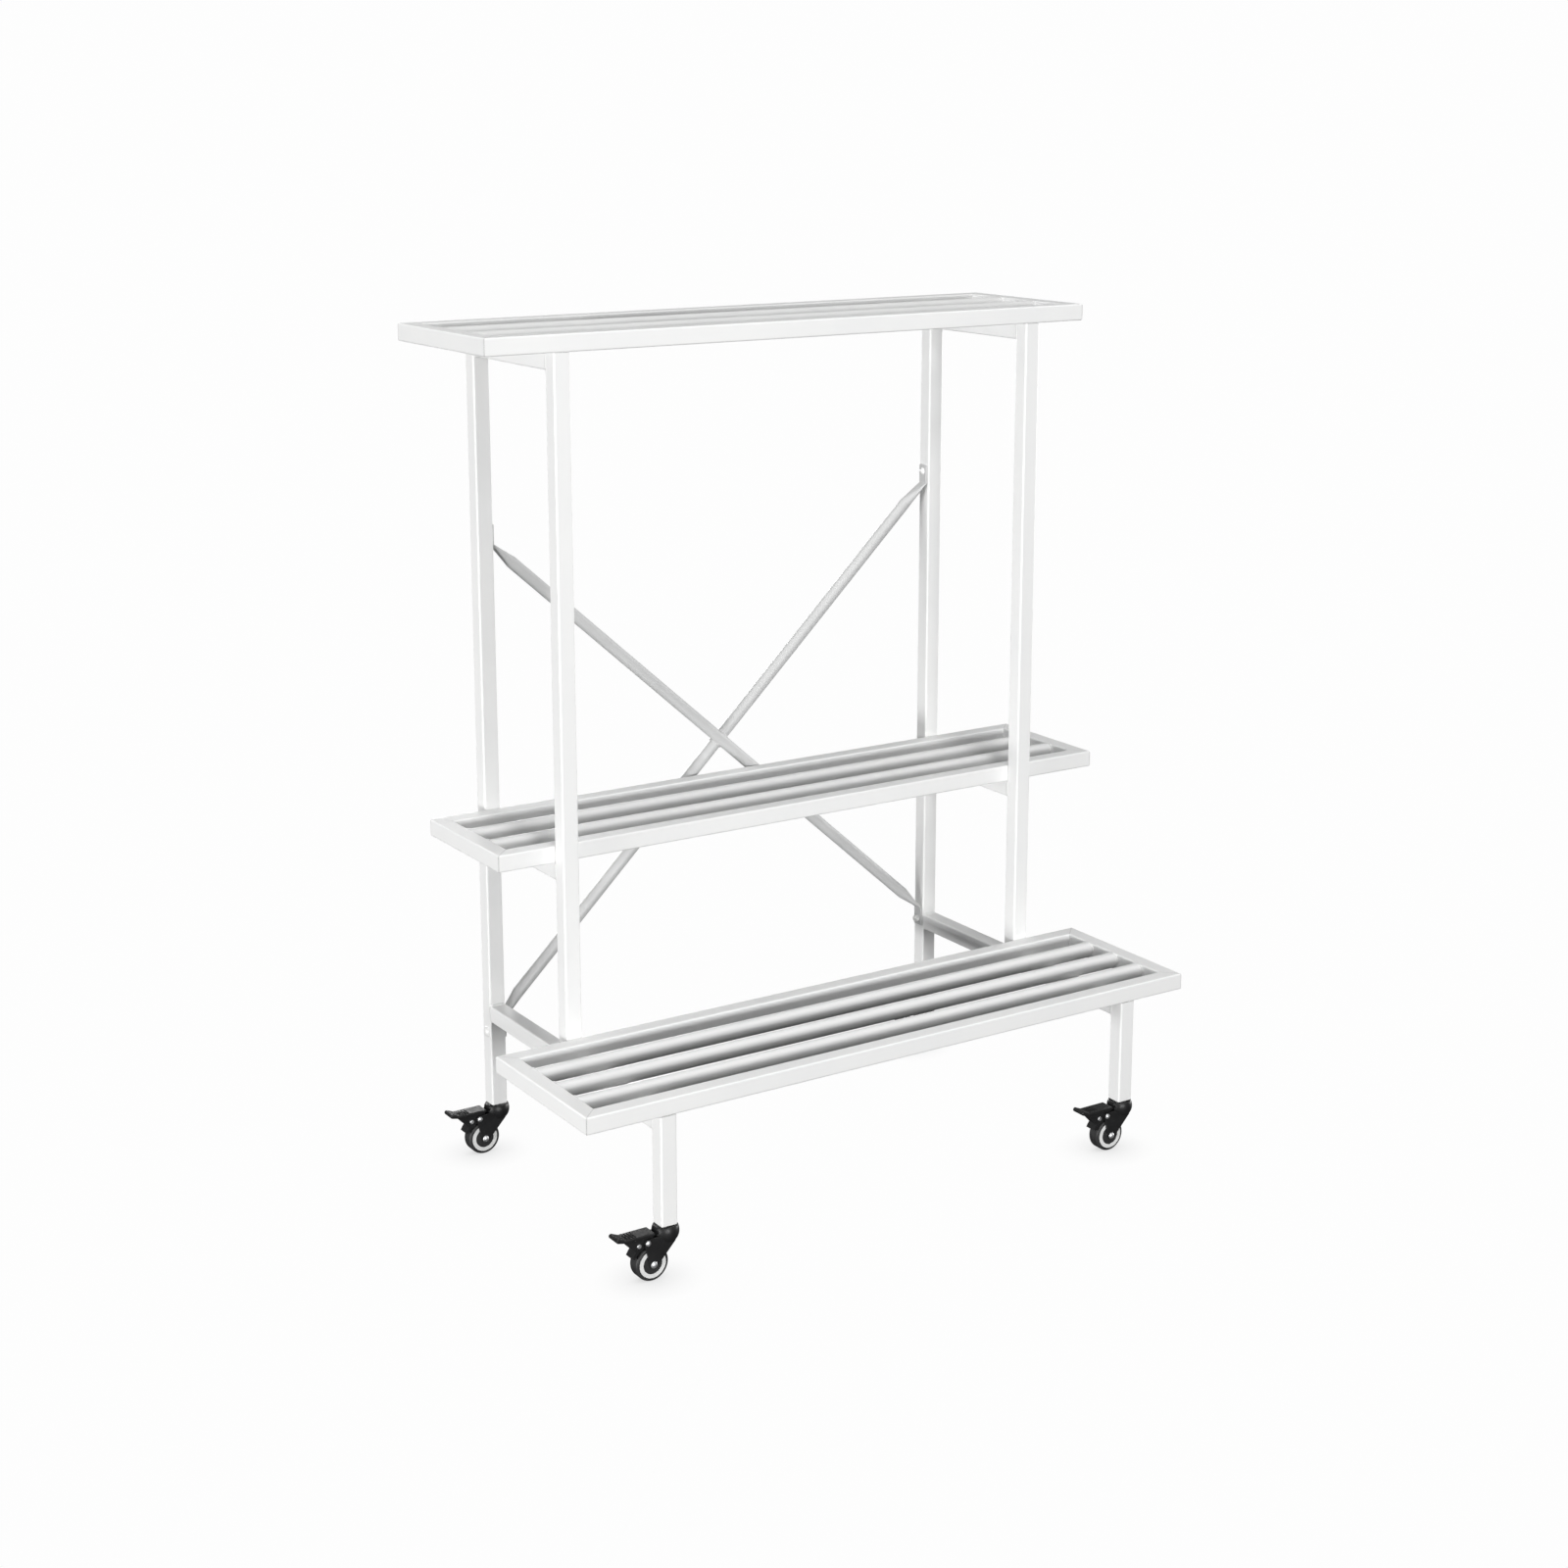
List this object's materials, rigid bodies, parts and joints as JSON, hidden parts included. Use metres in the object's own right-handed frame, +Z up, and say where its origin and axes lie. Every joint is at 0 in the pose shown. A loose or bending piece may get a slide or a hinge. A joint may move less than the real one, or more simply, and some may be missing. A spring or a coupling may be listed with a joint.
{
  "type": "rolling plant stand",
  "caption": "Rolling plant stand of white square steel tube: slatted shelves stepped from front to back, a crossed brace behind and braked swivel casters.",
  "frame": {"origin": "on the floor under the middle of the stand's outline", "axes": "+Z up, +X along the shelves to the right seen from the front, front towards -Y"},
  "size_m": [1.0794, 0.5438, 1.254],
  "materials": {
    "white_coat": "satin white powder coat",
    "white_screw": "white coated bolt heads",
    "zinc_steel": "zinc plated",
    "black_plastic": "moulded matt black",
    "black_rubber": "black rubber tread",
    "light_ring": "light grey ring"
  },
  "bodies": {
    "frame": {"left_rear_post": "white_coat", "left_mid_post": "white_coat", "left_front_leg": "white_coat", "left_upper_side_rail": "white_coat", "left_middle_side_rail": "white_coat", "left_lower_side_rail": "white_coat", "right_rear_post": "white_coat", "right_mid_post": "white_coat", "right_front_leg": "white_coat", "right_upper_side_rail": "white_coat", "right_middle_side_rail": "white_coat", "right_lower_side_rail": "white_coat", "bottom_shelf_front_rail": "white_coat", "bottom_shelf_rear_rail": "white_coat", "bottom_shelf_left_end": "white_coat", "bottom_shelf_right_end": "white_coat", "bottom_shelf_bars": "white_coat", "middle_shelf_front_rail": "white_coat", "middle_shelf_rear_rail": "white_coat", "middle_shelf_left_end": "white_coat", "middle_shelf_right_end": "white_coat", "middle_shelf_bars": "white_coat", "top_shelf_front_rail": "white_coat", "top_shelf_rear_rail": "white_coat", "top_shelf_left_end": "white_coat", "top_shelf_right_end": "white_coat", "top_shelf_bars": "white_coat", "brace_falling_rod": "white_coat", "brace_rising_rod_low": "white_coat", "brace_rising_rod_high": "white_coat", "caster_stems": "zinc_steel", "caster_sockets": "black_plastic", "post_spigots": "black_plastic", "shelf_screws": "zinc_steel", "brace_bolts": "white_screw"},
    "front_left_swivel": {"front_left_fork": "black_plastic", "front_left_axle": "zinc_steel", "front_left_pedal_pin": "zinc_steel"},
    "front_left_roller": {"front_left_wheel": "black_rubber", "front_left_wheel_rings": "light_ring"},
    "front_left_brake": {"front_left_brake_pedal": "black_plastic"},
    "front_right_swivel": {"front_right_fork": "black_plastic", "front_right_axle": "zinc_steel", "front_right_pedal_pin": "zinc_steel"},
    "front_right_roller": {"front_right_wheel": "black_rubber", "front_right_wheel_rings": "light_ring"},
    "front_right_brake": {"front_right_brake_pedal": "black_plastic"},
    "rear_left_swivel": {"rear_left_fork": "black_plastic", "rear_left_axle": "zinc_steel", "rear_left_pedal_pin": "zinc_steel"},
    "rear_left_roller": {"rear_left_wheel": "black_rubber", "rear_left_wheel_rings": "light_ring"},
    "rear_left_brake": {"rear_left_brake_pedal": "black_plastic"},
    "rear_right_swivel": {"rear_right_fork": "black_plastic", "rear_right_axle": "zinc_steel", "rear_right_pedal_pin": "zinc_steel"},
    "rear_right_roller": {"rear_right_wheel": "black_rubber", "rear_right_wheel_rings": "light_ring"},
    "rear_right_brake": {"rear_right_brake_pedal": "black_plastic"}
  },
  "joints": [
    {"name": "front_left_swivel_turn", "type": "hinge", "parent": "frame", "child": "front_left_swivel", "pos_m": [-0.41475, -0.25275, 0.075], "axis": [0, 0, 1], "continuous": true},
    {"name": "front_left_wheel_spin", "type": "hinge", "parent": "front_left_swivel", "child": "front_left_roller", "pos_m": [-0.44075, -0.25275, 0.025], "axis": [0, 1, 0], "continuous": true},
    {"name": "front_left_pedal_press", "type": "hinge", "parent": "front_left_swivel", "child": "front_left_brake", "pos_m": [-0.44925, -0.25275, 0.058], "axis": [0, -1, 0], "range_deg": [0, 7.5]},
    {"name": "front_right_swivel_turn", "type": "hinge", "parent": "frame", "child": "front_right_swivel", "pos_m": [0.38525, -0.25275, 0.075], "axis": [0, 0, 1], "continuous": true},
    {"name": "front_right_wheel_spin", "type": "hinge", "parent": "front_right_swivel", "child": "front_right_roller", "pos_m": [0.35925, -0.25275, 0.025], "axis": [0, 1, 0], "continuous": true},
    {"name": "front_right_pedal_press", "type": "hinge", "parent": "front_right_swivel", "child": "front_right_brake", "pos_m": [0.35075, -0.25275, 0.058], "axis": [0, -1, 0], "range_deg": [0, 7.5]},
    {"name": "rear_left_swivel_turn", "type": "hinge", "parent": "frame", "child": "rear_left_swivel", "pos_m": [-0.41475, 0.25275, 0.075], "axis": [0, 0, 1], "continuous": true},
    {"name": "rear_left_wheel_spin", "type": "hinge", "parent": "rear_left_swivel", "child": "rear_left_roller", "pos_m": [-0.44075, 0.25275, 0.025], "axis": [0, 1, 0], "continuous": true},
    {"name": "rear_left_pedal_press", "type": "hinge", "parent": "rear_left_swivel", "child": "rear_left_brake", "pos_m": [-0.44925, 0.25275, 0.058], "axis": [0, -1, 0], "range_deg": [0, 7.5]},
    {"name": "rear_right_swivel_turn", "type": "hinge", "parent": "frame", "child": "rear_right_swivel", "pos_m": [0.38525, 0.25275, 0.075], "axis": [0, 0, 1], "continuous": true},
    {"name": "rear_right_wheel_spin", "type": "hinge", "parent": "rear_right_swivel", "child": "rear_right_roller", "pos_m": [0.35925, 0.25275, 0.025], "axis": [0, 1, 0], "continuous": true},
    {"name": "rear_right_pedal_press", "type": "hinge", "parent": "rear_right_swivel", "child": "rear_right_brake", "pos_m": [0.35075, 0.25275, 0.058], "axis": [0, -1, 0], "range_deg": [0, 7.5]}
  ]
}
